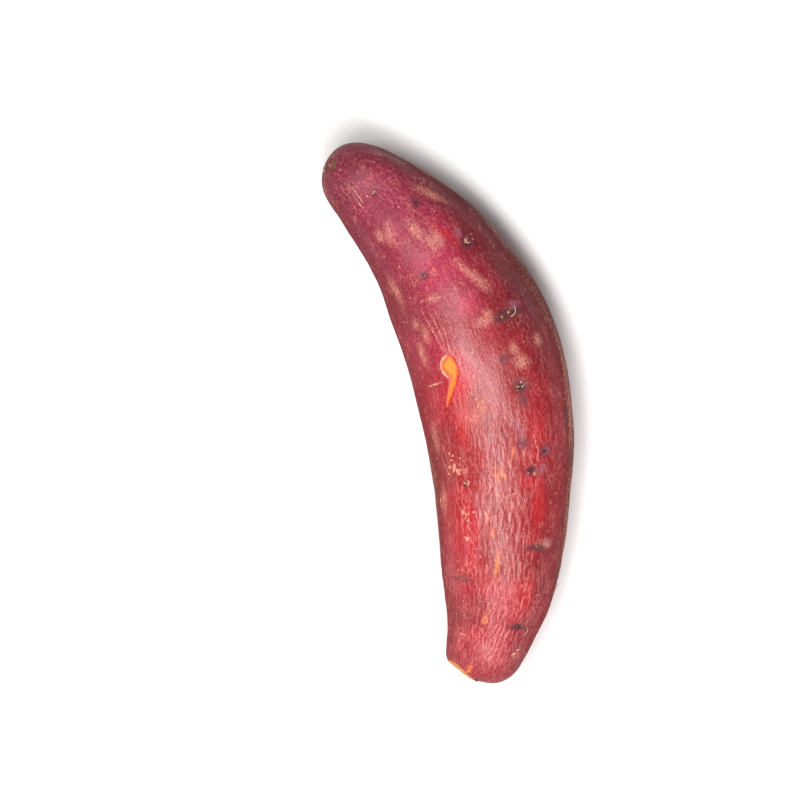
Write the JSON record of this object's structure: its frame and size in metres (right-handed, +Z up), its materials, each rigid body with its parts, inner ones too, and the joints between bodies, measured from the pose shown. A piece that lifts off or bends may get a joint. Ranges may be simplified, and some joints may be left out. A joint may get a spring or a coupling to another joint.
{
  "type": "sweet potato",
  "caption": "Whole cooked sweet potato, a long bent root with wrinkled red-purple skin, lying on its side.",
  "frame": {"origin": "on the surface the root rests on, under the middle of its bounding box", "axes": "+X along the root from its trimmed tail to its crown, +Y towards the hollow side of its bend, +Z up"},
  "size_m": [0.1872, 0.0636, 0.0463],
  "materials": {
    "skin": "thin cooked skin, satin and wrinkled, crimson to purple with tan scuffs and dark eyes"
  },
  "bodies": {
    "root": {"sweet_potato": "skin"}
  },
  "joints": []
}
